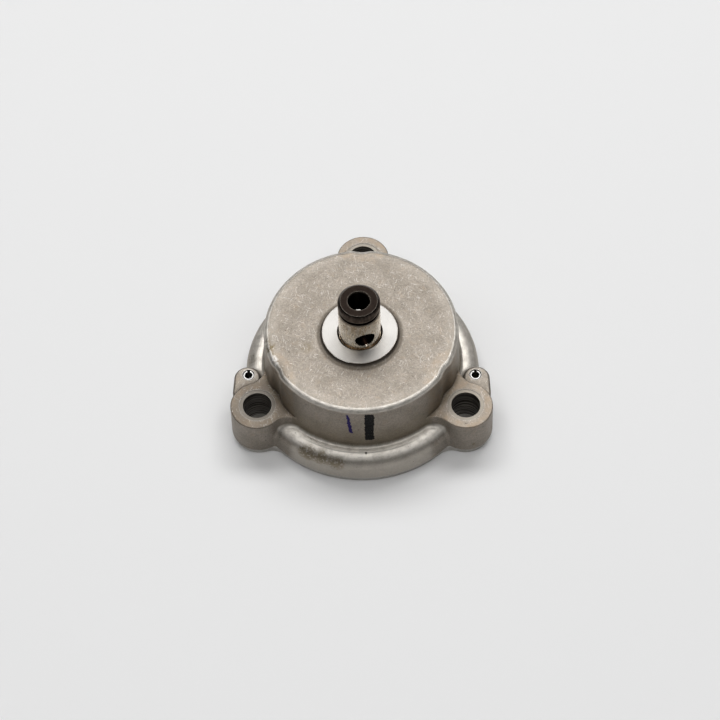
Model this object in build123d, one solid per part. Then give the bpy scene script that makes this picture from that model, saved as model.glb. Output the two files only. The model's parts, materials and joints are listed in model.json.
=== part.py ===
from build123d import *
from math import atan, cos, pi, radians, sin, tan
import os

# Engine oil pump of the trochoid kind: an inner and an outer rotor in a die-cast body, closed by a plate.
# Millimetres. The origin is on the shaft axis at the mounting face, the underside of the cover plate.
# +Z runs along the shaft towards its free end, and +Y points to the mounting lug behind the shaft.
# Heights on the body are measured from its own lower face, which lies on the cover plate.

# ---- Rotor set -----------------------------------------------------------------------------------
inner_lobes = 6
eccentricity = 1.68
eccentric_angle = 81.0
lobe_circle_radius = 18.4
lobe_radius = 4.9
lobe_points = 20
mesh_gap = 0.06
root_relief = 0.14
root_blend = 0.8
outer_rotor_wall = 3.0
rotor_thickness = 13.0
rotor_side_gap = 0.04
rotor_rim_gap = 0.06
rotor_chamfer = 0.3

# ---- Drive shaft and the pieces on it ------------------------------------------------------------
shaft_radius = 5.0
shaft_running_gap = 0.03
shaft_foot = 0.4
shaft_foot_chamfer = 0.5
shaft_projection = 13.0
shaft_end_chamfer = 0.55
oil_bore_radius = 2.5
oil_bore_depth = 20.0
oil_bore_chamfer = 0.2
clip_groove_below_end = 2.1
clip_groove_width = 1.1
clip_groove_depth = 0.4
gear_seat_gap = 0.3
gear_seat_relief_width = 0.8
gear_seat_relief_depth = 0.25
gear_pin_hole_radius = 2.4
gear_pin_hole_height = 3.4
gear_pin_hole_angle = -73.0
blank_seam_angle = 52.5
drive_pin_radius = 2.0
drive_pin_overhang = 3.2
drive_pin_fit = 0.01
drive_pin_chamfer = 0.3
drive_slot_gap = 0.1
drive_slot_end_gap = 0.3
washer_thickness = 1.0
washer_width = 3.4
washer_bore_gap = 0.1
washer_recess_gap = 0.15

# ---- Die-cast body -------------------------------------------------------------------------------
drum_wall = 4.24
drum_roof = 5.54
drum_draft = 2.38
drum_edge_radius = 1.4
lug_angles = (90.0, 210.0, 330.0)
lug_stand_off = 4.7
lug_height = 10.05
lug_base_radius = 6.75
lug_draft = 1.4
lug_edge_radius = 0.3
web_sink = 0.28
web_blend_radius = 4.6
scallop_depth = 1.3
scallop_blend_radius = 3.3
rim_width = 4.75
rim_draft = 5.5
rim_wall_height = 2.8
rim_crest_radius = 3.9
rim_inner_crest_angle = 150.0
drum_foot_radius = 1.5
drum_foot_sink = 0.12
lug_foot_fillet = 1.0
boss_wall = 4.05
boss_height = 1.11
boss_base_fillet = 0.8
boss_root_depth = 1.0
shaft_bore_chamfer = 0.43
bolt_hole_radius = 3.5
spotface_radius = 4.4
spotface_depth = 0.12
port_recess_depth = 3.0

# ---- Spring pins and their bosses, at both front lugs ---------------------------------------------
# Insets are inwards from the rim's outer radius, and angles are from the +X or the -X side.
spring_pin_inset = 0.9
spring_pin_angle = -10.85
spring_pin_radius = 1.5
spring_pin_wall = 0.5
spring_pin_slit = 0.7
spring_pin_fit = 0.01
spring_pin_recess = 0.15
pin_boss_inset = 0.5
pin_boss_angle = -12.2
pin_boss_neck_inset = -0.8
pin_boss_neck_angle = -19.76
pin_boss_radius = 3.2
pin_boss_step = 1.0
pin_boss_edge_radius = 0.6
pin_boss_blend_radius = 1.6
pin_boss_wall = 0.1

# ---- Cover plate and its screws ------------------------------------------------------------------
plate_thickness = 2.0
plate_inset = 0.5
port_width = 5.6
port_overlap = 0.2
inlet_half_angle = 62.0
outlet_half_angle = 52.0
screw_angles = (30.0, 150.0, 270.0)
screw_radius = 2.0
screw_engagement = 5.7
screw_tip_gap = 0.3
screw_hole_fit = 0.05
screw_head_radius = 3.7
screw_head_recess = 0.1
screw_socket_width = 2.5
screw_socket_depth = 1.5

# ---- Sizes worked out from those above, from the rotors outwards -----------------------------------
outer_root_radius = lobe_circle_radius - lobe_radius + 2 * eccentricity + root_relief
outer_rotor_radius = outer_root_radius + outer_rotor_wall
pocket_radius = outer_rotor_radius + rotor_rim_gap
pocket_height = rotor_thickness + 2 * rotor_side_gap
port_outer_radius = outer_root_radius + port_overlap
port_inner_radius = port_outer_radius - port_width
drum_base_radius = pocket_radius + drum_wall
drum_height = pocket_height + port_recess_depth + drum_roof
lug_circle_radius = drum_base_radius + lug_stand_off
scallop_radius = lug_stand_off + scallop_depth
rim_radius = drum_base_radius + rim_width
boss_radius = shaft_radius + boss_wall
pin_boss_height = lug_height - pin_boss_step
pin_boss_rise = pin_boss_height - rim_wall_height - rim_crest_radius
pin_boss_foot = min(pin_boss_blend_radius, pin_boss_rise - pin_boss_edge_radius - pin_boss_wall)
screw_circle_radius = (pocket_radius + rim_radius) / 2
screw_length = plate_thickness + screw_engagement - screw_head_recess
inner_rotor_floor = plate_thickness + rotor_side_gap
inner_rotor_top = inner_rotor_floor + rotor_thickness
boss_face = plate_thickness + drum_height + boss_height
shaft_top = boss_face + shaft_projection
drive_slot_depth = 2 * (drive_pin_radius + drive_slot_gap)
drive_pin_axis = inner_rotor_top - drive_slot_depth / 2
outer_lobes = inner_lobes + 1
sides = {"left": -1, "right": 1}
eccentric = Vector(eccentricity * cos(radians(eccentric_angle)), eccentricity * sin(radians(eccentric_angle)))
housing = Pos(eccentric.X, eccentric.Y, 0)


def polar(radius, angle):
    return Pos(radius * cos(radians(angle)), radius * sin(radians(angle)), 0)


def lug_places():
    return [polar(lug_circle_radius, angle) for angle in lug_angles]


def screw_places():
    return [polar(screw_circle_radius, angle) for angle in screw_angles]


def rim_place(inset, angle, side):
    radius = rim_radius - inset
    return Pos(side * radius * cos(radians(angle)), radius * sin(radians(angle)), 0)


def pin_places():
    return [rim_place(spring_pin_inset, spring_pin_angle, side) for side in sides.values()]


def drum_outline(height):
    """Section of the drum, hollowed where a spanner passes each bolt; the hollows stand upright."""
    outline = Circle(drum_base_radius - height * tan(radians(drum_draft)))
    for place in lug_places():
        outline -= place * Circle(scallop_radius)
    return Pos(0, 0, height) * fillet(outline.vertices(), scallop_blend_radius)


def drum():
    """Drafted drum, rounded at its top edge."""
    solid = loft([drum_outline(0), drum_outline(drum_height)], ruled=True)
    return fillet(solid.faces().sort_by(Axis.Z)[-1].edges(), drum_edge_radius)


def lug_layer():
    """The three bolt lugs, each with a pair of pointed webs that run into the drum wall."""
    outline = Circle(drum_base_radius - web_sink)
    for place in lug_places():
        outline += place * Circle(lug_base_radius)
    outline = fillet(outline.vertices(), web_blend_radius)
    layer = extrude(outline, lug_height, taper=lug_draft)
    return fillet(layer.faces().sort_by(Axis.Z)[-1].edges(), lug_edge_radius)


def rim():
    """Round-shouldered rim that runs round the drum from lug to lug."""
    crest_centre = rim_radius - rim_wall_height * tan(radians(rim_draft)) - rim_crest_radius

    def crest(angle):
        a = radians(angle)
        return crest_centre + rim_crest_radius * cos(a), rim_wall_height + rim_crest_radius * sin(a)

    inner, inner_top = crest(rim_inner_crest_angle)
    section = make_face([
        Line((0, 0), (rim_radius, 0)),
        Line((rim_radius, 0), crest(rim_draft)),
        ThreePointArc(crest(rim_draft), crest(90), (inner, inner_top)),
        Line((inner, inner_top), (0, inner_top)),
        Line((0, inner_top), (0, 0)),
    ])
    return revolve(Plane.XZ * section, Axis.Z)


def drum_foot():
    """Hollow blend that carries the drum wall out onto the rim's shoulder."""
    floor = rim_wall_height + rim_crest_radius - drum_foot_sink
    top = floor + drum_foot_radius
    wall = drum_base_radius - top * tan(radians(drum_draft)) - drum_foot_sink
    foot = wall + drum_foot_radius
    section = make_face([
        Line((pocket_radius, floor), (foot, floor)),
        RadiusArc((foot, floor), (wall, top), drum_foot_radius),
        Line((wall, top), (pocket_radius, top)),
        Line((pocket_radius, top), (pocket_radius, floor)),
    ])
    return revolve(Plane.XZ * section, Axis.Z)


def pin_boss(side):
    """Boss that carries a spring pin, with a neck that runs into the lug beside it."""
    ends = [
        rim_place(pin_boss_inset, pin_boss_angle, side) * Circle(pin_boss_radius),
        rim_place(pin_boss_neck_inset, pin_boss_neck_angle, side) * Circle(pin_boss_radius),
    ]
    boss = extrude(make_hull(Sketch(children=ends).edges()), pin_boss_height)
    return fillet(boss.faces().sort_by(Axis.Z)[-1].edges(), pin_boss_edge_radius)


def flange():
    """Rim with the pin bosses blended into it, the lugs and webs that rise out of it, and the drum's foot."""
    ring, bosses = rim(), [pin_boss(side) for side in sides.values()]
    band = ring + bosses
    meeting = new_edges(ring, *bosses, combined=band)
    band = fillet(meeting.filter_by(lambda edge: edge.center().Z > 0), pin_boss_foot)
    layer = lug_layer()
    casting = layer + band
    front_lugs = lug_circle_radius * sin(radians(lug_angles[1]))
    meeting = new_edges(layer, band, combined=casting)
    front = meeting.filter_by(lambda edge: edge.center().Z > 0 and edge.center().Y < front_lugs)
    return fillet(front, lug_foot_fillet) + drum_foot()


def shaft_boss():
    """Round boss on the drum, with its foot blended into the drum's top."""
    foot = boss_radius + boss_base_fillet
    root = -boss_root_depth
    section = make_face([
        Line((0, root), (foot, root)),
        Line((foot, root), (foot, 0)),
        RadiusArc((foot, 0), (boss_radius, boss_base_fillet), boss_base_fillet),
        Line((boss_radius, boss_base_fillet), (boss_radius, boss_height)),
        Line((boss_radius, boss_height), (0, boss_height)),
        Line((0, boss_height), (0, root)),
    ])
    return revolve(Plane.XZ * section, Axis.Z)


def kidney(middle_angle, half_angle):
    """Round-ended port outline that follows the ring of pumping chambers."""
    middle_radius = (port_inner_radius + port_outer_radius) / 2
    path = CenterArc((0, 0), middle_radius, middle_angle - half_angle, 2 * half_angle)
    return SlotArc(path, port_outer_radius - port_inner_radius)


def ports():
    return [kidney(eccentric_angle + 90, inlet_half_angle), kidney(eccentric_angle - 90, outlet_half_angle)]


def pump_body():
    """Casting with its rotor pocket, port recesses, shaft bore and holes, still in body heights."""
    solid = flange() + drum()
    solid += Pos(-eccentric.X, -eccentric.Y, drum_height) * shaft_boss()
    solid -= extrude(Circle(pocket_radius), pocket_height)
    for port in ports():
        solid -= extrude(port, pocket_height + port_recess_depth)
    spotface_floor = Pos(0, 0, lug_height - spotface_depth)
    for place in lug_places():
        solid -= extrude(place * Circle(bolt_hole_radius), lug_height)
        solid -= spotface_floor * place * extrude(Circle(spotface_radius), spotface_depth)
    for place in pin_places():
        solid -= extrude(place * Circle(spring_pin_radius), pin_boss_height)
    for place in screw_places():
        solid -= extrude(place * Circle(screw_radius + screw_hole_fit), screw_engagement + screw_tip_gap)
    return solid - Pos(-eccentric.X, -eccentric.Y, 0) * shaft_clearance()


def shaft_clearance():
    """Running bore of the shaft with its chamfered mouth, and the recess for the thrust washer."""
    face = drum_height + boss_height
    bore = shaft_radius + shaft_running_gap
    mouth = bore + shaft_bore_chamfer
    section = make_face([
        Line((0, 0), (bore, 0)),
        Line((bore, 0), (bore, face - shaft_bore_chamfer)),
        Line((bore, face - shaft_bore_chamfer), (mouth, face)),
        Line((mouth, face), (0, face)),
        Line((0, face), (0, 0)),
    ])
    recess_radius = shaft_radius + washer_width + washer_recess_gap
    recess = extrude(Circle(recess_radius), pocket_height + washer_thickness)
    return revolve(Plane.XZ * section, Axis.Z) + recess


def cover_plate():
    """Flat plate under the body, with both ports, the shaft's foot bearing and countersunk screw holes."""
    outline = Circle(rim_radius - plate_inset)
    for place in lug_places():
        outline += place * Circle(lug_base_radius - plate_inset)
    outline = fillet(outline.vertices(), web_blend_radius)
    for side in sides.values():
        outline += rim_place(pin_boss_inset, pin_boss_angle, side) * Circle(pin_boss_radius - plate_inset)
    for port in ports():
        outline -= port
    for place in lug_places():
        outline -= place * Circle(bolt_hole_radius)
    for place in pin_places():
        outline -= place * Circle(spring_pin_radius)
    outline -= Pos(-eccentric.X, -eccentric.Y) * Circle(shaft_radius + shaft_running_gap)
    plate = extrude(outline, plate_thickness)
    for place in screw_places():
        plate -= place * screw_blank(screw_hole_fit)
    return plate


def screw_blank(gap):
    """Countersunk screw without its socket, grown by gap; its head lies just inside the mounting face."""
    head = screw_head_radius + gap
    shank = screw_radius + gap
    cone_top = screw_head_recess + head - shank
    section = make_face([
        Line((0, screw_head_recess), (head, screw_head_recess)),
        Line((head, screw_head_recess), (shank, cone_top)),
        Line((shank, cone_top), (shank, screw_length + screw_head_recess)),
        Line((shank, screw_length + screw_head_recess), (0, screw_length + screw_head_recess)),
        Line((0, screw_length + screw_head_recess), (0, screw_head_recess)),
    ])
    blank = revolve(Plane.XZ * section, Axis.Z)
    if gap:
        blank += extrude(Circle(head), screw_head_recess)
    return blank


def cover_screw():
    socket = extrude(RegularPolygon(screw_socket_width / 2, 6, major_radius=False), screw_socket_depth)
    return screw_blank(0) - Pos(0, 0, screw_head_recess) * socket


def spring_pin():
    """Rolled pin with a lengthwise slit and chamfered ends."""
    radius = spring_pin_radius - spring_pin_fit
    length = plate_thickness + pin_boss_height - 2 * spring_pin_recess
    pin = extrude(Circle(radius), length)
    pin = chamfer(pin.edges(), spring_pin_wall / 2)
    pin -= extrude(Circle(radius - spring_pin_wall), length)
    slit = Box(spring_pin_slit, radius, length, align=(Align.CENTER, Align.MIN, Align.MIN))
    return Pos(0, 0, spring_pin_recess) * (pin - slit)


def drive_pin(radius, overhang):
    length = 2 * (shaft_radius + overhang)
    turn = Rot(0, 0, eccentric_angle) * Rot(0, 90, 0)
    return Pos(0, 0, drive_pin_axis) * turn * Cylinder(radius, length)


def drive_shaft():
    """Hollow shaft with its clip groove, a relief under the gear's seat, and both cross holes for pins."""
    groove_top = shaft_top - clip_groove_below_end
    groove_floor = groove_top - clip_groove_width
    groove = shaft_radius - clip_groove_depth
    relief_top = boss_face + gear_seat_gap
    relief_floor = relief_top - gear_seat_relief_width
    relief = shaft_radius - gear_seat_relief_depth
    bore_floor = shaft_top - oil_bore_depth
    mouth = oil_bore_radius + oil_bore_chamfer
    corners = [
        (0, shaft_foot),
        (shaft_radius - shaft_foot_chamfer, shaft_foot),
        (shaft_radius, shaft_foot + shaft_foot_chamfer),
        (shaft_radius, relief_floor),
        (relief, relief_floor),
        (relief, relief_top),
        (shaft_radius, relief_top),
        (shaft_radius, groove_floor),
        (groove, groove_floor),
        (groove, groove_top),
        (shaft_radius, groove_top),
        (shaft_radius, shaft_top - shaft_end_chamfer),
        (shaft_radius - shaft_end_chamfer, shaft_top),
        (mouth, shaft_top),
        (oil_bore_radius, shaft_top - oil_bore_chamfer),
        (oil_bore_radius, bore_floor),
        (0, bore_floor - oil_bore_radius / 2),
    ]
    seam = Rot(0, 0, gear_pin_hole_angle + blank_seam_angle)
    shaft = seam * revolve(Plane.XZ * make_face(Polyline(*corners, close=True)), Axis.Z)
    cross = Rot(0, 0, gear_pin_hole_angle) * Rot(0, 90, 0) * Cylinder(gear_pin_hole_radius, 2 * boss_radius)
    shaft -= Pos(0, 0, boss_face + gear_pin_hole_height) * cross
    return shaft - drive_pin(drive_pin_radius + drive_pin_fit, shaft_radius)


def inner_outline():
    """Inner rotor's section: the envelope of the outer rotor's round lobes, drawn for one lobe pitch.

    A point is the lobe circle's point at the angle, less the lobe radius along the common normal, less
    the eccentricity turned by the number of outer lobes times the angle.
    """
    radius = lobe_radius + mesh_gap

    def point(angle):
        swing = inner_lobes * angle
        lean = -atan(sin(swing) / (lobe_circle_radius / (eccentricity * outer_lobes) - cos(swing)))
        facing, turned = angle + lean, outer_lobes * angle
        x = lobe_circle_radius * cos(angle) - radius * cos(facing) - eccentricity * cos(turned)
        y = lobe_circle_radius * sin(angle) - radius * sin(facing) - eccentricity * sin(turned)
        return x, y

    count = inner_lobes * lobe_points
    return make_face(Spline(*[point(2 * pi * step / count) for step in range(count)], periodic=True))


def inner_rotor():
    outline = Rot(0, 0, eccentric_angle + 180) * inner_outline()
    outline -= Circle(shaft_radius + drive_pin_fit)
    rotor = Pos(0, 0, inner_rotor_floor) * extrude(outline, rotor_thickness)
    slot_length = 2 * (shaft_radius + drive_pin_overhang + drive_slot_end_gap)
    slot = Box(slot_length, drive_slot_depth, drive_slot_depth, align=(Align.CENTER, Align.CENTER, Align.MAX))
    return rotor - Pos(0, 0, inner_rotor_top) * Rot(0, 0, eccentric_angle) * slot


def outer_rotor():
    cavity = Circle(outer_root_radius)
    for lobe in range(outer_lobes):
        angle = eccentric_angle + 180 + lobe * 360 / outer_lobes
        cavity -= polar(lobe_circle_radius, angle) * Circle(lobe_radius)
    cavity = fillet(cavity.vertices(), root_blend)
    blank = extrude(Circle(outer_rotor_radius), rotor_thickness)
    blank = chamfer(blank.edges(), rotor_chamfer)
    return Pos(0, 0, inner_rotor_floor) * (blank - extrude(cavity, rotor_thickness))


def thrust_washer():
    ring = Circle(shaft_radius + washer_width) - Circle(shaft_radius + washer_bore_gap)
    return Pos(0, 0, inner_rotor_top) * extrude(ring, washer_thickness)


def rotor_drive_pin():
    pin = drive_pin(drive_pin_radius, drive_pin_overhang)
    return chamfer(pin.edges().filter_by(GeomType.CIRCLE), drive_pin_chamfer)


def all_parts():
    parts = {
        "pump_body": Pos(0, 0, plate_thickness) * housing * pump_body(),
        "cover_plate": housing * cover_plate(),
        "drive_shaft": drive_shaft(),
        "thrust_washer": thrust_washer(),
        "rotor_drive_pin": rotor_drive_pin(),
        "inner_rotor": inner_rotor(),
        "outer_rotor": housing * outer_rotor(),
    }
    for side, place in zip(sides, pin_places()):
        parts["spring_pin_" + side] = housing * place * spring_pin()
    for number, place in enumerate(screw_places(), start=1):
        parts["cover_screw_" + str(number)] = housing * place * cover_screw()
    return parts


os.makedirs("parts", exist_ok=True)
for node, shape in all_parts().items():
    export_step(shape, "parts/" + node + ".step")
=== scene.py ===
import json
from math import cos, pi, radians, sin

import bpy
import numpy as np
from mathutils import Matrix, Vector


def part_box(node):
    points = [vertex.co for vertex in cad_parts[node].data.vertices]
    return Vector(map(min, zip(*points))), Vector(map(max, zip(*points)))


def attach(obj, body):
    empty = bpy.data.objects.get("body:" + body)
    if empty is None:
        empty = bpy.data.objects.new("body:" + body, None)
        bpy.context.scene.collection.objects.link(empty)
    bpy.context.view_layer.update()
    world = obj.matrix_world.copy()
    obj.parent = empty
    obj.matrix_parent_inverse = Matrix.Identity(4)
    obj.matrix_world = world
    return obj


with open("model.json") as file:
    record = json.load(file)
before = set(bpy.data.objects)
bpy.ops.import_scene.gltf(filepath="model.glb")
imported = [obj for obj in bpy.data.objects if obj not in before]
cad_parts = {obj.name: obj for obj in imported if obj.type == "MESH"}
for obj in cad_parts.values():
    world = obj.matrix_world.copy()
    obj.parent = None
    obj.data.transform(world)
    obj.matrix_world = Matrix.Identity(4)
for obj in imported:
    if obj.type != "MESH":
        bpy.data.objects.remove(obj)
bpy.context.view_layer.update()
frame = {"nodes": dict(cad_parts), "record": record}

MM = 0.001

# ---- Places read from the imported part, in millimetres ---------------------------------------------
# The shaft turns on the frame's Z axis, and the rotor housing is centred a little behind it.
mounts = {mount["name"]: mount for mount in frame["record"]["mounts"]}
bolts = mounts["mounting_bolts"]
HOUSING_X, HOUSING_Y = (value / MM for value in bolts["pos_m"][:2])
LUG_CIRCLE = bolts["dims"]["pcd_mm"] / 2
BOLT_HOLE = bolts["dims"]["hole_r_mm"]
SHAFT_RADIUS = mounts["shaft_end"]["dims"]["r_mm"]
BOSS_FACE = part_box("pump_body")[1].z / MM
SHAFT_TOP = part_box("drive_shaft")[1].z / MM
PLATE_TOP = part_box("cover_plate")[1].z / MM

# ---- Sizes of the casting and shaft that their finishes follow, in millimetres --------------------
DRUM_BASE = 24.30
DRUM_TOP = PLATE_TOP + 21.62
LUG_TOP = PLATE_TOP + 10.05
SPOTFACE_FLOOR = LUG_TOP - 0.12
SPOTFACE_RADIUS = 4.4
RIM_RADIUS = DRUM_BASE + 4.75
RIM_CREST = PLATE_TOP + 6.7
CREASE_RADIUS = 25.8
BOSS_RADIUS = 9.05
BOSS_BORE = 5.46
GROOVE_FLOOR = SHAFT_TOP - 3.2

BACK, LEFT, RIGHT = 90.0, 210.0, 330.0


def lug_axis(turn):
    """Bolt hole's place in plan, on the lug that lies at turn degrees from +X."""
    return HOUSING_X + LUG_CIRCLE * cos(radians(turn)), HOUSING_Y + LUG_CIRCLE * sin(radians(turn))


# ---- Camera and light -----------------------------------------------------------------------------
CAMERA_PLACE = (10.0, -262.0, 423.9)
CAMERA_TARGET = (-0.2, 0.0, 12.0)
CAMERA_ROLL = -2.04
CAMERA_LENS = 100.0
CAMERA_SENSOR = 36.0
FLOOR_HALF = 1.2
PALE_TONE = (0.80, 0.80, 0.80, 1.0)
SKY_HORIZON = 0.06
SKY_ZENITH = 0.32
SOFTBOX_DISTANCE = 1.2
# Lean from upright and turn from +X in degrees, width and depth in metres, and the share that it gives
# of the light that a plain white sky would give the floor.
SOFTBOXES = {
    "back_softbox": (27.0, 90.0, 1.20, 0.38, 0.65),
    "front_softbox": (14.0, 270.0, 1.00, 0.30, 0.12),
    "left_softbox": (30.0, 205.0, 0.54, 0.54, 0.085),
    "right_softbox": (30.0, 335.0, 0.54, 0.54, 0.085),
}

# ---- Colours of the casting -----------------------------------------------------------------------
CAST_LIGHT = (0.282, 0.250, 0.213, 1.0)
CAST_DARK = (0.236, 0.208, 0.175, 1.0)
CAST_TAN = (0.29, 0.225, 0.16, 1.0)
# Pale metal for abrasion and for painted highlights on the drum's shoulder and the rim.
CAST_RUBBED_AND_HIGHLIT = (0.78, 0.74, 0.675, 1.0)
# Dark brown for dirt, pits, a darker left lug and the dark feed rings of the bores, and for painted shade in
# corners, seams, the rim's crease and round the boss's foot.
GRIME_AND_SHADE = (0.05, 0.039, 0.028, 1.0)
# Oil brown for stains, and for painted shade on the drum's wall.
OIL_STAIN_AND_SHADE = (0.15, 0.115, 0.06, 1.0)
# Bright metal for scuffs, scratches and flecks, and for painted highlights along edges.
BRIGHT_WEAR_AND_HIGHLIGHT = (0.80, 0.79, 0.77, 1.0)
BORED_METAL = (0.36, 0.34, 0.31, 1.0)
TOOL_MARK = (0.25, 0.24, 0.22, 1.0)
BOSS_TONE = (0.43, 0.417, 0.398, 1.0)
BOSS_ROUGHNESS = 0.48
SPOTFACE_TONES = {
    BACK: (0.23, 0.208, 0.178, 1.0),
    LEFT: (0.125, 0.113, 0.097, 1.0),
    RIGHT: (0.22, 0.198, 0.168, 1.0),
}
SPOTFACE_ROUGHNESS = 0.45
BLACK_INK = (0.004, 0.004, 0.005, 1.0)
BLUE_INK = (0.016, 0.010, 0.085, 1.0)

# ---- Colours of the shaft -------------------------------------------------------------------------
SHAFT_BRONZE = (0.80, 0.68, 0.52, 1.0)
SHAFT_PALE = (0.95, 0.88, 0.78, 1.0)
SHAFT_FOOT = (0.55, 0.39, 0.23, 1.0)
COLLAR_DARK = (0.045, 0.033, 0.026, 1.0)
COLLAR_LIGHT = (0.13, 0.10, 0.082, 1.0)
END_DARK = (0.005, 0.0035, 0.003, 1.0)
END_LIGHT = (0.013, 0.0095, 0.0075, 1.0)
# Pale tone of the shaft's edges: painted highlight.
SHAFT_EDGE_HIGHLIGHT = (0.50, 0.45, 0.38, 1.0)
# Near-black inside the shaft's holes: painted shade.
HOLE_SHADE = (0.012, 0.006, 0.004, 1.0)

# ---- Marks on the casting: place and radius in millimetres, and strength --------------------------
OIL_SPOTS = (
    ((-12.6, -4.0, 23.6), 2.0, 0.30),
    ((-9.6, -25.7, 7.8), 3.6, 0.80),
    ((-13.4, -24.0, 7.8), 3.6, 0.75),
    ((-5.9, -26.8, 7.2), 3.0, 0.70),
    ((11.5, -25.5, 7.8), 2.0, 0.35),
    ((27.3, -19.0, 4.2), 0.7, 0.80),
    ((22.5, 2.0, 8.3), 3.0, 0.35),
    ((-26.5, 3.0, 7.5), 2.5, 0.35),
    ((2.0, 26.0, 8.0), 3.0, 0.45),
    ((19.0, 20.0, 7.6), 3.5, 0.40),
    ((-18.0, 21.0, 7.9), 3.0, 0.40),
)
PITS = (
    ((1.4, -24.2, 8.6), 0.35),
    ((6.4, -21.3, 22.6), 0.30),
    ((-8.0, 3.0, 23.6), 0.12),
)
SHOULDER_STAINS = (
    ((-21.5, -3.7, 23.1), 1.7, 0.85),
    ((-21.9, -1.6, 22.9), 1.2, 0.70),
    ((-20.6, -5.6, 23.4), 0.5, 0.70),
    ((6.4, -21.4, 22.5), 0.5, 0.80),
)
SHOULDER_FLECKS = (
    ((-20.3, -7.0, 23.3), 1.1, 0.60),
    ((-19.6, -8.4, 23.2), 0.7, 0.60),
    ((-19.9, -7.9, 22.7), 0.6, 0.60),
)
# Two strokes of a marker down the drum's front wall, from top to foot, each end an X and a Z.
BLACK_STROKE = {"top": (2.35, 22.25), "foot": (2.25, 11.35), "half_width": 1.13, "widening": 0.04}
BLUE_STROKE = {"top": (-2.85, 21.9), "foot": (-2.05, 14.3), "half_width": 0.40, "widening": -0.06}
# Scratches: angle in plan in degrees, length in millimetres, and how many fit side by side in one.
SCRATCHES = ((20.0, 2.2, 6.0), (-62.0, 1.8, 6.0), (78.0, 2.4, 7.0))

# ---- Steel of the plate, rotors, pins and screws --------------------------------------------------
# Name, light and dark tone, roughness, and the scale, stretch and relief of the grain or tool marks, the
# relief in millimetres. The first key that is part of a node's own name gives that node its steel.
WORKED_STEELS = {
    "cover_plate": ("ground_plate", (0.52, 0.50, 0.47, 1.0), (0.36, 0.34, 0.31, 1.0), 0.34, 1.2,
                    (0.25, 9.0, 1.0), 0.006),
    "thrust_washer": ("hardened_washer", (0.46, 0.44, 0.40, 1.0), (0.30, 0.28, 0.25, 1.0), 0.28, 2.0,
                      (1.0, 1.0, 6.0), 0.004),
    "rotor_drive_pin": ("ground_pin", (0.58, 0.57, 0.55, 1.0), (0.44, 0.43, 0.41, 1.0), 0.2, 2.0,
                        (6.0, 6.0, 6.0), 0.003),
    "rotor": ("sintered_steel", (0.34, 0.33, 0.315, 1.0), (0.20, 0.19, 0.18, 1.0), 0.42, 5.0,
              (1.0, 1.0, 1.0), 0.012),
    "spring_pin": ("spring_steel", (0.15, 0.142, 0.13, 1.0), (0.05, 0.046, 0.042, 1.0), 0.42, 1.6,
                   (5.0, 5.0, 1.0), 0.006),
    "cover_screw": ("zinc_plate", (0.62, 0.61, 0.58, 1.0), (0.47, 0.46, 0.42, 1.0), 0.3, 1.5,
                    (1.0, 1.0, 1.0), 0.008),
}
RAISED_BURR = ("raised_burr", (0.42, 0.40, 0.36, 1.0), (0.12, 0.11, 0.09, 1.0), 0.4, 1.2,
               (1.0, 1.0, 1.0), 0.01)

# ---- Lathe-cut skins and metal trim, in millimetres -----------------------------------------------
BOSS_CHAMFER = 0.12
BOSS_INSET, BOSS_FEED, BOSS_GROOVE = 0.02, 0.25, 0.012
SPOTFACE_INSET, SPOTFACE_FEED, SPOTFACE_GROOVE = 0.03, 0.15, 0.010
BURR_ARC = (226.0, 256.0)
BURR_OUTSET, BURR_SINK, BURR_THICKNESS = 0.02, 0.06, 0.16
FLASH_ARC = (241.0, 299.0)
FLASH_INSET, FLASH_SINK, FLASH_THICKNESS = 0.18, 0.02, 0.12


def place_camera():
    """Camera at CAMERA_PLACE that looks at CAMERA_TARGET and is rolled about its own line of sight."""
    place, target = Vector(CAMERA_PLACE) * MM, Vector(CAMERA_TARGET) * MM
    look = (target - place).normalized()
    right = look.cross(Vector((0, 0, 1))).normalized()
    up = right.cross(look)
    roll = radians(CAMERA_ROLL)
    across = right * cos(roll) + up * sin(roll)
    upright = up * cos(roll) - right * sin(roll)
    turn = Matrix((across, upright, -look)).transposed()
    data = bpy.data.cameras.new("camera")
    data.sensor_width = CAMERA_SENSOR
    data.lens = CAMERA_LENS
    data.clip_start, data.clip_end = 0.01, 10.0
    camera = bpy.data.objects.new("camera", data)
    camera.matrix_world = Matrix.Translation(place) @ turn.to_4x4()
    bpy.context.scene.collection.objects.link(camera)
    bpy.context.scene.camera = camera


def hang_softbox(name, lean, turn, width, depth, share):
    """Softbox that faces the pump, and whose power gives the floor its share of a plain white sky's light."""
    data = bpy.data.lights.new(name, "AREA")
    data.shape = "RECTANGLE"
    data.size, data.size_y = width, depth
    data.energy = share * pi ** 2 * SOFTBOX_DISTANCE ** 2 / cos(radians(lean))
    lamp = bpy.data.objects.new(name, data)
    out = sin(radians(lean))
    away = Vector((out * cos(radians(turn)), out * sin(radians(turn)), cos(radians(lean))))
    lamp.location = away * SOFTBOX_DISTANCE
    lamp.rotation_euler = (-away).to_track_quat("-Z", "Y").to_euler()
    bpy.context.scene.collection.objects.link(lamp)


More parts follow.
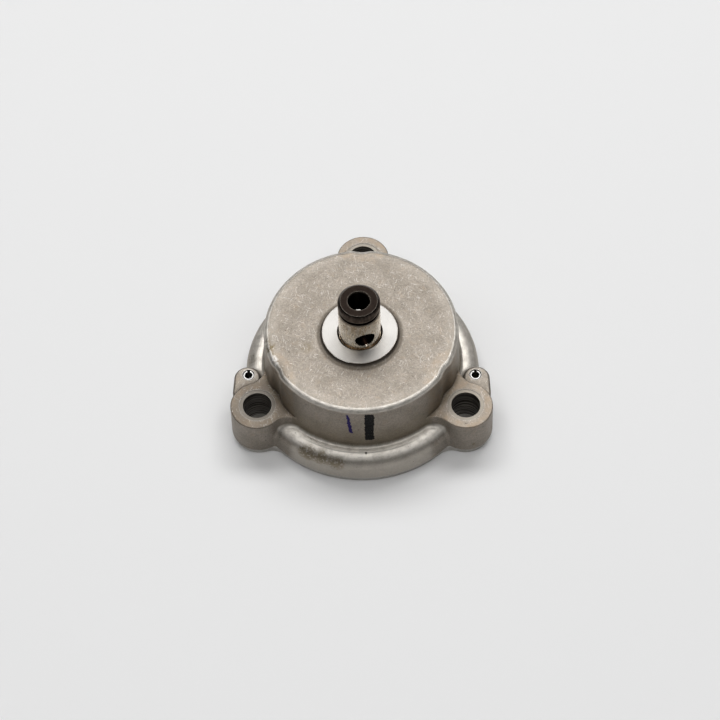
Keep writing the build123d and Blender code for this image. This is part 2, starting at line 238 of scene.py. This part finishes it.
class Finish:
    """A material under way. Its nodes are added one at a time, and each reads the sockets of those before.

    A mask is a socket that runs from 0 to 1. Places and lengths are in millimetres on the object.
    """

    def __init__(self, name, metallic, roughness, colour=(0.5, 0.5, 0.5, 1.0)):
        self.material = bpy.data.materials.new(name)
        self.material.use_nodes = True
        self.tree = self.material.node_tree
        self.surface = self.tree.nodes["Principled BSDF"]
        self.set(Metallic=metallic, Roughness=roughness, Base_Color=colour)
        self.colour = colour
        texture = self.tree.nodes.new("ShaderNodeTexCoord").outputs["Object"]
        self.place = self.vector("SCALE", texture, Scale=1.0 / MM)

    def node(self, kind, settings, inputs):
        node = self.tree.nodes.new(kind)
        for name, value in settings.items():
            setattr(node, name, value)
        for key, value in inputs.items():
            self.feed(node.inputs[key], value)
        return node

    def feed(self, socket, value):
        if isinstance(value, bpy.types.NodeSocket):
            self.tree.links.new(value, socket)
        else:
            socket.default_value = value

    def math(self, operation, *values):
        return self.node("ShaderNodeMath", {"operation": operation}, dict(enumerate(values))).outputs[0]

    def vector(self, operation, *values, **named):
        inputs = {**dict(enumerate(values)), **named}
        node = self.node("ShaderNodeVectorMath", {"operation": operation}, inputs)
        return node.outputs["Value" if operation == "DISTANCE" else "Vector"]

    def all_of(self, first, *others):
        """Product of masks and numbers."""
        for other in others:
            first = self.math("MULTIPLY", first, other)
        return first

    def any_of(self, first, *others):
        """Greatest of several masks."""
        for other in others:
            first = self.math("MAXIMUM", first, other)
        return first

    def axis(self, name, vector=None):
        """One of X, Y and Z of a vector, which is the place on the object by default."""
        return self.node("ShaderNodeSeparateXYZ", {}, {"Vector": vector or self.place}).outputs[name]

    def noise(self, scale, detail=3.0, roughness=0.55, vector=None, stretch=None):
        """Cloudy noise from 0 to 1 with features about 1 / scale across."""
        vector = vector or self.place
        if stretch:
            vector = self.vector("MULTIPLY", vector, stretch)
        inputs = {"Vector": vector, "Scale": scale, "Detail": detail, "Roughness": roughness}
        return self.node("ShaderNodeTexNoise", {}, inputs).outputs["Fac"]

    def ramp(self, value, low, high, start=0.0, end=1.0, soft=True):
        """Value carried from the range low..high to start..end, held at the ends."""
        settings = {"clamp": True, "interpolation_type": "SMOOTHSTEP" if soft else "LINEAR"}
        inputs = {"Value": value, "From Min": low, "From Max": high, "To Min": start, "To Max": end}
        return self.node("ShaderNodeMapRange", settings, inputs).outputs["Result"]

    def mix(self, factor, first, second, blend="MIX"):
        """Colour that goes from first to second with the factor."""
        settings = {"data_type": "RGBA", "blend_type": blend, "clamp_factor": True}
        return self.node("ShaderNodeMix", settings, {0: factor, 6: first, 7: second}).outputs[2]

    def between(self, factor, first, second):
        """Number that goes from first to second with the factor."""
        inputs = {0: factor, 2: first, 3: second}
        return self.node("ShaderNodeMix", {"data_type": "FLOAT"}, inputs).outputs[0]

    def cover(self, mask, colour):
        """Lays a colour over the finish's own, as thickly as the mask says."""
        self.colour = self.mix(mask, self.colour, colour)

    def shade(self, factor):
        """Multiplies the finish's colour by a factor."""
        self.colour = self.mix(1.0, self.colour, factor, blend="MULTIPLY")

    def radius_from(self, x, y):
        """Distance in plan from the upright axis at x and y."""
        flat = self.vector("MULTIPLY", self.place, (1.0, 1.0, 0.0))
        return self.vector("DISTANCE", flat, (x, y, 0.0))

    def band(self, value, low, high, edge):
        """1 between low and high, 0 outside, with soft edges."""
        rise = self.ramp(value, low - edge, low + edge)
        fall = self.ramp(value, high - edge, high + edge, 1.0, 0.0)
        return self.all_of(rise, fall)

    def spot(self, centre, size, ragged=0.35):
        """1 inside a blot at centre, size in radius, whose edge and inside are broken up by noise."""
        reach = self.vector("DISTANCE", self.place, centre)
        wander = self.noise(1.3 / size ** 0.5, detail=5.0)
        edge = self.math("MULTIPLY_ADD", wander, -2.0 * ragged, 1.0 + ragged)
        blot = self.ramp(self.math("DIVIDE", reach, size), edge, self.math("SUBTRACT", edge, 0.6))
        return self.all_of(blot, self.ramp(self.noise(1.6, detail=5.0, roughness=0.7), 0.36, 0.52))

    def scratches(self, angle, length, fineness, level=0.70):
        """Thin straight marks at an angle in plan: stretched noise, of which only what tops level is kept."""
        turn = self.node("ShaderNodeVectorRotate", {"rotation_type": "Z_AXIS"},
                         {"Vector": self.place, "Angle": radians(angle)}).outputs["Vector"]
        field = self.noise(1.0, detail=1.0, vector=turn, stretch=(1.0 / length, fineness, 0.2))
        return self.ramp(field, level, level + 0.03)

    def shelter(self, distance, inside=False):
        """1 where the surface is open, down to 0 in a corner; with inside, down to 0 along a sharp edge."""
        settings = {"samples": 8, "inside": inside, "only_local": True}
        return self.node("ShaderNodeAmbientOcclusion", settings, {"Distance": distance * MM}).outputs["AO"]

    def bump(self, height, distance, normal=None):
        """Normal of a relief that runs from 0 to distance in height, laid over another normal if given."""
        inputs = {"Height": height, "Distance": distance * MM, "Strength": 1.0}
        if normal:
            inputs["Normal"] = normal
        return self.node("ShaderNodeBump", {}, inputs).outputs["Normal"]

    def set(self, **sockets):
        """Feeds sockets of the shader, named with underscores for spaces."""
        for name, value in sockets.items():
            self.feed(self.surface.inputs[name.replace("_", " ")], value)
        return self.material


class CastFinish(Finish):
    """Blasted die-casting, and what oil, dirt, handling, tools and a marker have left on it, with painted
    shade and painted highlights.
    """

    def __init__(self):
        super().__init__("cast_aluminium", metallic=0.9, roughness=0.5)
        self.height = self.axis("Z")
        self.from_drum = self.radius_from(HOUSING_X, HOUSING_Y)
        self.from_shaft = self.radius_from(0.0, 0.0)
        self.from_lug = self.radius_from(*lug_axis(BACK))
        for side in (LEFT, RIGHT):
            self.from_lug = self.math("MINIMUM", self.from_lug, self.radius_from(*lug_axis(side)))
        facing = self.node("ShaderNodeNewGeometry", {}, {}).outputs["True Normal"]
        self.upward = self.ramp(self.axis("Z", facing), 0.3, 0.7)
        self.grain = self.noise(2.3, detail=4.0, roughness=0.75)
        self.blotch = self.noise(0.55, detail=4.0, roughness=0.6)
        self.cloud = self.noise(0.22, detail=3.0)

    def bare_metal(self):
        """Soft clouds, tan blotches and the fine grain of blasting."""
        self.colour = self.mix(self.ramp(self.cloud, 0.35, 0.65), CAST_DARK, CAST_LIGHT)
        self.cover(self.ramp(self.blotch, 0.50, 0.80, 0.0, 0.45), CAST_TAN)
        self.shade(self.ramp(self.grain, 0.3, 0.7, 0.74, 1.22))

    def wall_shade_and_web_tint(self):
        """Painted shade that darkens the drum's wall towards its foot in an oil-brown tone, and a tan tint on
        the tops of the lugs' webs.
        """
        wall = self.band(self.from_drum, DRUM_BASE - 1.6, DRUM_BASE + 0.3, 0.4)
        self.cover(self.all_of(wall, self.ramp(self.height, DRUM_TOP - 2.0, RIM_CREST), 0.42), OIL_STAIN_AND_SHADE)
        web = self.band(self.from_lug, 4.8, 9.5, 0.6)
        top = self.ramp(self.height, LUG_TOP - 0.4, LUG_TOP - 0.1)
        self.cover(self.all_of(web, top, self.ramp(self.blotch, 0.3, 0.7, 0.1, 0.6)), CAST_TAN)

    def corner_shade(self):
        """Painted shade in corners, and more of it in narrow seams."""
        corner = self.ramp(self.shelter(2.2), 0.35, 0.85, 1.0, 0.0)
        seam = self.ramp(self.shelter(0.7), 0.35, 0.75, 1.0, 0.0)
        self.corner_shade_mask = self.all_of(corner, self.ramp(self.blotch, 0.2, 0.7, 0.45, 0.75))
        self.cover(self.corner_shade_mask, GRIME_AND_SHADE)
        self.cover(self.all_of(seam, 0.7), GRIME_AND_SHADE)

    def rubbed_and_highlit_metal(self):
        """Paler metal on the drum's shoulder and the rim's crest, and a little on the rim's outer slope:
        partly abrasion, partly painted highlight where these rounds catch the light.
        """
        shoulder = self.all_of(
            self.ramp(self.height, DRUM_TOP - 1.3, DRUM_TOP - 0.4),
            self.ramp(self.height, DRUM_TOP - 0.07, DRUM_TOP - 0.004, 1.0, 0.08),
            self.ramp(self.from_drum, DRUM_BASE - 5.0, DRUM_BASE - 3.0))
        crest = self.all_of(
            self.band(self.height, RIM_CREST - 1.6, RIM_CREST + 0.3, 0.5),
            self.band(self.from_drum, DRUM_BASE - 0.5, DRUM_BASE + 3.4, 0.6), 0.95)
        slope = self.all_of(
            self.ramp(self.from_drum, DRUM_BASE + 2.2, DRUM_BASE + 3.2),
            self.ramp(self.from_lug, 10.5, 13.0, 0.0, 0.3))
        uneven = self.ramp(self.blotch, 0.25, 0.65, 0.5, 0.95)
        self.rubbed_and_highlit = self.any_of(self.all_of(self.any_of(shoulder, crest), uneven), slope)
        self.cover(self.rubbed_and_highlit, CAST_RUBBED_AND_HIGHLIT)

    def oil_spots(self):
        """Small brown stains, and a darker top on the left lug."""
        for centre, size, strength in OIL_SPOTS:
            self.cover(self.all_of(self.spot(centre, size), strength), OIL_STAIN_AND_SHADE)
        lug = self.ramp(self.radius_from(*lug_axis(LEFT)), 9.0, 6.5)
        self.cover(self.all_of(lug, self.upward, self.ramp(self.cloud, 0.3, 0.6, 0.35, 0.55)), GRIME_AND_SHADE)

    def pores(self):
        """Small dark pits: a few at listed places among scattered ones."""
        scattered = self.ramp(self.noise(1.7, detail=2.0, roughness=0.4), 0.255, 0.235)
        placed = [self.spot(centre, size, ragged=0.2) for centre, size in PITS]
        self.pits = self.any_of(scattered, *placed)
        self.cover(self.all_of(self.pits, 0.8), GRIME_AND_SHADE)

    def wear_and_edge_highlights(self):
        """Bright metal along sharp edges, partly abrasion and partly painted highlight, and in scratches on
        the faces that look up.
        """
        edge = self.ramp(self.shelter(0.5, inside=True), 0.45, 0.80, 1.0, 0.0)
        scuff = self.any_of(*[self.scratches(*scratch) for scratch in SCRATCHES])
        self.worn_and_highlit = self.any_of(self.all_of(edge, self.ramp(self.grain, 0.3, 0.6, 0.3, 0.8)),
                                self.all_of(scuff, self.upward, 0.5))
        self.cover(self.all_of(self.worn_and_highlit, 0.5), BRIGHT_WEAR_AND_HIGHLIGHT)

    def crease(self):
        """Painted shade of a crease: a dark line along the front of the rim, just inside its crest, that
        fades towards the lugs.
        """
        line = self.band(self.from_drum, CREASE_RADIUS - 0.16, CREASE_RADIUS + 0.16, 0.12)
        middle = self.ramp(self.math("ABSOLUTE", self.axis("X")), 16.0, 9.0)
        front = self.ramp(self.axis("Y"), -14.0, -20.0)
        broken = self.ramp(self.blotch, 0.3, 0.5, 0.4, 0.9)
        self.cover(self.all_of(line, middle, front, broken, 0.5), GRIME_AND_SHADE)

    def bores(self):
        """Feed rings inside the bolt holes and the shaft's bore, and painted shade in a ring round the boss's
        foot.
        """
        bored = self.any_of(self.ramp(self.from_lug, BOLT_HOLE + 0.1, BOLT_HOLE + 0.02),
                            self.ramp(self.from_shaft, BOSS_BORE - 0.02, BOSS_BORE - 0.1))
        feed_marks = self.ramp(self.noise(1.0, detail=2.0, stretch=(0.1, 0.1, 2.5)), 0.35, 0.65)
        self.cover(bored, self.mix(feed_marks, GRIME_AND_SHADE, BORED_METAL))
        ring = self.band(self.from_shaft, BOSS_RADIUS, BOSS_RADIUS + 1.3, 0.35)
        foot = self.ramp(self.height, BOSS_FACE - 0.1, BOSS_FACE - 0.4)
        self.cover(self.all_of(ring, foot, 0.62), GRIME_AND_SHADE)

    def knocks(self):
        """Ragged stains and bright flecks on the drum's shoulder."""
        for centre, size, strength in SHOULDER_STAINS:
            self.cover(self.all_of(self.spot(centre, size, ragged=0.6), strength), OIL_STAIN_AND_SHADE)
        for centre, size, strength in SHOULDER_FLECKS:
            self.cover(self.all_of(self.spot(centre, size, ragged=0.9), strength), BRIGHT_WEAR_AND_HIGHLIGHT)

    def stroke(self, top, foot, half_width, widening):
        """Marker stroke on the drum's front wall from top to foot, with a ragged outline.

        Its half width grows from half_width less widening at the foot to half_width and widening at the top.
        """
        along = self.ramp(self.height, foot[1], top[1], soft=False)
        middle = self.between(along, foot[0], top[0])
        half = self.between(along, half_width - widening, half_width + widening)
        wander = self.math("MULTIPLY_ADD", self.noise(1.4, detail=5.0, roughness=0.65), 1.1, -0.55)
        aside = self.math("SUBTRACT", self.math("ADD", self.axis("X"), wander), middle)
        within = self.ramp(self.math("SUBTRACT", half, self.math("ABSOLUTE", aside)), -0.06, 0.10)
        ends = self.band(self.math("ADD", self.height, wander), foot[1], top[1], 0.12)
        front = self.ramp(self.axis("Y"), -15.0, -16.0)
        dry = self.ramp(self.noise(4.0, detail=5.0), 0.27, 0.36)
        return self.all_of(within, ends, front, dry)

    def ink(self):
        """A broad black stroke and a thin blue one."""
        black, blue = self.stroke(**BLACK_STROKE), self.stroke(**BLUE_STROKE)
        self.inked = self.any_of(black, blue)
        self.cover(blue, BLUE_INK)
        self.cover(black, BLACK_INK)

    def finished(self):
        """Material with the colour built up so far, and the sheen and relief that go with it."""
        roughness = self.between(self.ramp(self.grain, 0.3, 0.7), 0.46, 0.56)
        roughness = self.between(self.rubbed_and_highlit, roughness, 0.45)
        roughness = self.between(self.worn_and_highlit, roughness, 0.32)
        roughness = self.between(self.corner_shade_mask, roughness, 0.75)
        metallic = self.any_of(self.inked, self.math("MULTIPLY_ADD", self.corner_shade_mask, -0.7, 0.95))
        relief = self.math("SUBTRACT", self.grain, self.all_of(self.pits, 2.0))
        normal = self.bump(self.blotch, 0.05, self.bump(relief, 0.07))
        return self.set(Base_Color=self.colour, Roughness=roughness, Metallic=metallic, Normal=normal)


def cast_aluminium():
    """Finish of the casting, from the bare metal up to the ink."""
    cast = CastFinish()
    cast.bare_metal()
    cast.wall_shade_and_web_tint()
    cast.corner_shade()
    cast.rubbed_and_highlit_metal()
    cast.oil_spots()
    cast.pores()
    cast.wear_and_edge_highlights()
    cast.crease()
    cast.bores()
    cast.knocks()
    cast.ink()
    return cast.finished()


def turned_aluminium(name, centre, tone, roughness):
    """Face cut on a lathe: fine rings about the centre, whose shine spreads across them."""
    turned = Finish(name, metallic=1.0, roughness=roughness, colour=tone)
    reach = turned.math("MULTIPLY", turned.radius_from(*centre), 9.0)
    outward = turned.node("ShaderNodeCombineXYZ", {}, {"X": reach}).outputs[0]
    rings = turned.noise(1.0, detail=2.0, vector=outward)
    patches = turned.noise(0.35, detail=3.0)
    uneven = turned.math("ADD", rings, turned.math("MULTIPLY", patches, 0.5))
    turned.shade(turned.ramp(uneven, 0.4, 1.1, 0.82, 1.06))
    turned.cover(turned.all_of(turned.scratches(35.0, 2.5, 14.0, level=0.72), 0.5), TOOL_MARK)
    offset = turned.vector("SUBTRACT", turned.place, (*centre, 0.0))
    around = turned.vector("NORMALIZE", turned.vector("CROSS_PRODUCT", (0.0, 0.0, 1.0), offset))
    turned.set(Anisotropic=0.3)
    return turned.set(Base_Color=turned.colour, Tangent=around, Normal=turned.bump(rings, 0.004))


def heat_tinted_shaft():
    """Ground shaft: bronze with a browner foot, a dark collar and end, painted highlights on its edges and
    painted shade in its holes.
    """
    steel = Finish("heat_tinted_steel", metallic=1.0, roughness=0.27)
    height = steel.axis("Z")
    streak = steel.noise(1.4, detail=4.0, stretch=(1.0, 1.0, 0.35))
    rings = steel.noise(1.0, detail=2.0, stretch=(0.15, 0.15, 7.0))
    steel.colour = steel.mix(steel.ramp(streak, 0.35, 0.65), SHAFT_BRONZE, SHAFT_PALE)
    above_boss = steel.math("ADD", height, steel.math("MULTIPLY", streak, 3.0))
    steel.cover(steel.ramp(above_boss, BOSS_FACE + 2.2, BOSS_FACE + 0.9), SHAFT_FOOT)
    steel.shade(steel.ramp(rings, 0.3, 0.7, 0.90, 1.06))
    collar = steel.ramp(steel.math("ADD", height, streak), GROOVE_FLOOR - 0.6, GROOVE_FLOOR + 0.7)
    steel.cover(collar, steel.mix(steel.ramp(streak, 0.3, 0.7), COLLAR_DARK, COLLAR_LIGHT))
    end = steel.ramp(height, SHAFT_TOP - 0.35, SHAFT_TOP - 0.12)
    steel.cover(end, steel.mix(streak, END_DARK, END_LIGHT))
    # Painted highlights on the shaft's edges.
    edge = steel.ramp(steel.shelter(0.35, inside=True), 0.5, 0.95, 1.0, 0.0)
    steel.cover(steel.all_of(edge, 0.55), SHAFT_EDGE_HIGHLIGHT)
    # Painted shade inside the shaft's holes, which also covers the shaft's lower end face.
    sunk = steel.ramp(steel.radius_from(0.0, 0.0), SHAFT_RADIUS - 0.12, SHAFT_RADIUS - 0.35)
    below_end = steel.ramp(height, SHAFT_TOP - 0.5, SHAFT_TOP - 0.75)
    steel.cover(steel.all_of(sunk, below_end), HOLE_SHADE)
    roughness = steel.between(collar, steel.ramp(streak, 0.3, 0.7, 0.22, 0.34), 0.36)
    return steel.set(Base_Color=steel.colour, Roughness=roughness, Normal=steel.bump(rings, 0.006))


def worked_steel(name, light, dark, roughness, scale, stretch, relief):
    """Steel with grain or tool marks: noise drawn out by stretch, painted shade in corners, and bright edges
    that are partly abrasion and partly painted highlight.
    """
    steel = Finish(name, metallic=1.0, roughness=roughness, colour=light)
    grain = steel.noise(scale, detail=4.0, roughness=0.65, stretch=stretch)
    cloudy = steel.math("MULTIPLY_ADD", steel.noise(0.3, detail=3.0), 0.6, grain)
    steel.colour = steel.mix(steel.ramp(cloudy, 0.55, 1.0), dark, light)
    steel.cover(steel.ramp(steel.shelter(0.9), 0.35, 0.85, 0.8, 0.0), GRIME_AND_SHADE)
    steel.cover(steel.ramp(steel.shelter(0.4, inside=True), 0.5, 0.9, 0.7, 0.0), BRIGHT_WEAR_AND_HIGHLIGHT)
    spread = steel.ramp(grain, 0.3, 0.7, roughness * 0.85, roughness * 1.2)
    return steel.set(Base_Color=steel.colour, Roughness=spread, Normal=steel.bump(grain, relief))


def paint(node, material):
    """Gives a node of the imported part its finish."""
    slots = frame["nodes"][node].data.materials
    slots.clear()
    slots.append(material)


# ---- Meshes worked out as whole arrays ------------------------------------------------------------
def grid_piece(name, points, material):
    """Closed surface on the casting through a grid of points, joined up along both rows and columns."""
    rows, columns = points.shape[:2]
    index = np.arange(rows * columns).reshape(rows, columns)
    right, down = np.roll(index, -1, axis=1), np.roll(index, -1, axis=0)
    faces = np.stack([index, right, np.roll(right, -1, axis=0), down], axis=-1).reshape(-1, 4)
    mesh = bpy.data.meshes.new(name)
    mesh.from_pydata((points.reshape(-1, 3) * MM).tolist(), [], faces.tolist())
    mesh.polygons.foreach_set("use_smooth", np.ones(len(faces), dtype=bool))
    mesh.materials.append(material)
    piece = bpy.data.objects.new(name, mesh)
    bpy.context.scene.collection.objects.link(piece)
    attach(piece, "housing")


def turned_face(name, centre, inner, outer, level, feed, depth, material):
    """Lathe-cut skin on a flat face, a ring with one spiral tool groove.

    Its height over the face is depth times half of 1 plus the sine of 2 pi times radius over feed plus
    turn, so the groove moves in by one feed each time round. It fades out over one feed at both edges,
    and the ring's underside lies in the casting.
    """
    around, across, under = 192, int((outer - inner) / feed) * 6, 4
    turn = np.linspace(0.0, 1.0, around, endpoint=False)[:, None]
    reach = np.concatenate([np.linspace(inner, outer, across), np.linspace(outer, inner, under)])[None, :]
    groove = depth * (0.5 + 0.5 * np.sin(2 * pi * (reach / feed + turn)))
    fade = np.minimum(reach - inner, outer - reach).clip(0.0, feed) / feed
    height = level + groove * fade
    height[:, across:] = level - depth
    x = centre[0] + reach * np.cos(2 * pi * turn)
    y = centre[1] + reach * np.sin(2 * pi * turn)
    grid_piece(name, np.stack([x, y, height], axis=-1)[::-1], material)


def ragged_bead(name, centre, radius, arc, level, thickness, material):
    """Thin ragged bead of metal along an arc in plan, between two angles in degrees.

    Its half width is the thickness times a sum of three sines along the arc, and falls to nothing at both
    ends. The section is a circle, squashed to half its height.
    """
    steps, sides = 240, 8
    along = np.linspace(0.0, 1.0, steps)
    turn = np.radians(arc[0] + (arc[1] - arc[0]) * along)
    outward = np.stack([np.cos(turn), np.sin(turn), np.zeros(steps)], axis=1)
    middle = radius * outward + (*centre, level)
    ripple = 0.62 + 0.22 * np.sin(41.0 * along + 1.0)
    ripple += 0.16 * np.sin(97.0 * along) + 0.12 * np.sin(173.0 * along)
    taper = np.minimum(1.0, 12.0 * np.minimum(along, 1.0 - along))
    half = thickness * ripple * taper + 1e-4
    around = np.linspace(0.0, 2 * pi, sides, endpoint=False)[None, :, None]
    section = np.cos(around) * outward[:, None, :] + 0.5 * np.sin(around) * np.array((0.0, 0.0, 1.0))
    points = middle[:, None, :] + half[:, None, None] * section
    caps = np.repeat(middle[[0, -1], None, :], sides, axis=1)
    grid_piece(name, np.concatenate([caps[:1], points, caps[1:]]), material)


# ---- Floor and sky --------------------------------------------------------------------------------
def make_floor():
    """Plain pale sheet under the pump."""
    half = FLOOR_HALF
    mesh = bpy.data.meshes.new("floor")
    corners = [(-half, -half, 0), (half, -half, 0), (half, half, 0), (-half, half, 0)]
    mesh.from_pydata(corners, [], [(0, 1, 2, 3)])
    floor = bpy.data.objects.new("floor", mesh)
    bpy.context.scene.collection.objects.link(floor)
    sheet = Finish("pale_sheet", metallic=0.0, roughness=0.85, colour=PALE_TONE)
    floor.data.materials.append(sheet.set(Specular_IOR_Level=0.1))


def light_world():
    """Soft sky, brightest overhead and dark at the horizon, which a camera sees as the floor's tone."""
    world = bpy.data.worlds.new("studio")
    world.use_nodes = True
    bpy.context.scene.world = world
    tree = world.node_tree

    def add(kind, settings, inputs):
        node = tree.nodes.new(kind)
        for name, value in settings.items():
            setattr(node, name, value)
        for key, value in inputs.items():
            if isinstance(value, bpy.types.NodeSocket):
                tree.links.new(value, node.inputs[key])
            else:
                node.inputs[key].default_value = value
        return node.outputs

    direction = tree.nodes.new("ShaderNodeTexCoord").outputs["Generated"]
    rise = add("ShaderNodeSeparateXYZ", {}, {"Vector": direction})["Z"]
    lobe = add("ShaderNodeMath", {"operation": "POWER", "use_clamp": True}, {0: rise, 1: 2.0})[0]
    span = {"Value": lobe, "To Min": SKY_HORIZON, "To Max": SKY_ZENITH}
    tone = add("ShaderNodeMapRange", {}, span)["Result"]
    seen = tree.nodes.new("ShaderNodeLightPath").outputs["Is Camera Ray"]
    mixed = add("ShaderNodeMix", {"data_type": "RGBA"}, {0: seen, 6: tone, 7: PALE_TONE})[2]
    tree.links.new(mixed, tree.nodes["Background"].inputs["Color"])


place_camera()
make_floor()
light_world()
for name, settings in SOFTBOXES.items():
    hang_softbox(name, *settings)

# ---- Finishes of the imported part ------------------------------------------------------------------
finishes = {"pump_body": cast_aluminium(), "drive_shaft": heat_tinted_shaft()}
for kind, steel in WORKED_STEELS.items():
    finishes[kind] = worked_steel(*steel)
for node in frame["nodes"]:
    paint(node, next(finish for kind, finish in finishes.items() if kind in node))

# ---- Machined skins and metal trim ----------------------------------------------------------------
turned_face("boss_turned_face", (0.0, 0.0), BOSS_BORE + BOSS_INSET, BOSS_RADIUS - BOSS_CHAMFER, BOSS_FACE,
            BOSS_FEED, BOSS_GROOVE, turned_aluminium("turned_boss", (0.0, 0.0), BOSS_TONE, BOSS_ROUGHNESS))
for number, side in enumerate((BACK, LEFT, RIGHT), start=1):
    axis = lug_axis(side)
    skin = turned_aluminium(f"spotface_{number}", axis, SPOTFACE_TONES[side], SPOTFACE_ROUGHNESS)
    turned_face(f"spotface_skin_{number}", axis, BOLT_HOLE + SPOTFACE_INSET, SPOTFACE_RADIUS - SPOTFACE_INSET,
                SPOTFACE_FLOOR, SPOTFACE_FEED, SPOTFACE_GROOVE, skin)
burr = worked_steel(*RAISED_BURR)
ragged_bead("boss_burr", (0.0, 0.0), BOSS_RADIUS + BURR_OUTSET, BURR_ARC, BOSS_FACE - BURR_SINK,
            BURR_THICKNESS, burr)
ragged_bead("casting_flash", (HOUSING_X, HOUSING_Y), RIM_RADIUS - FLASH_INSET, FLASH_ARC,
            PLATE_TOP - FLASH_SINK, FLASH_THICKNESS, burr)

bpy.context.scene.view_settings.view_transform = "Standard"
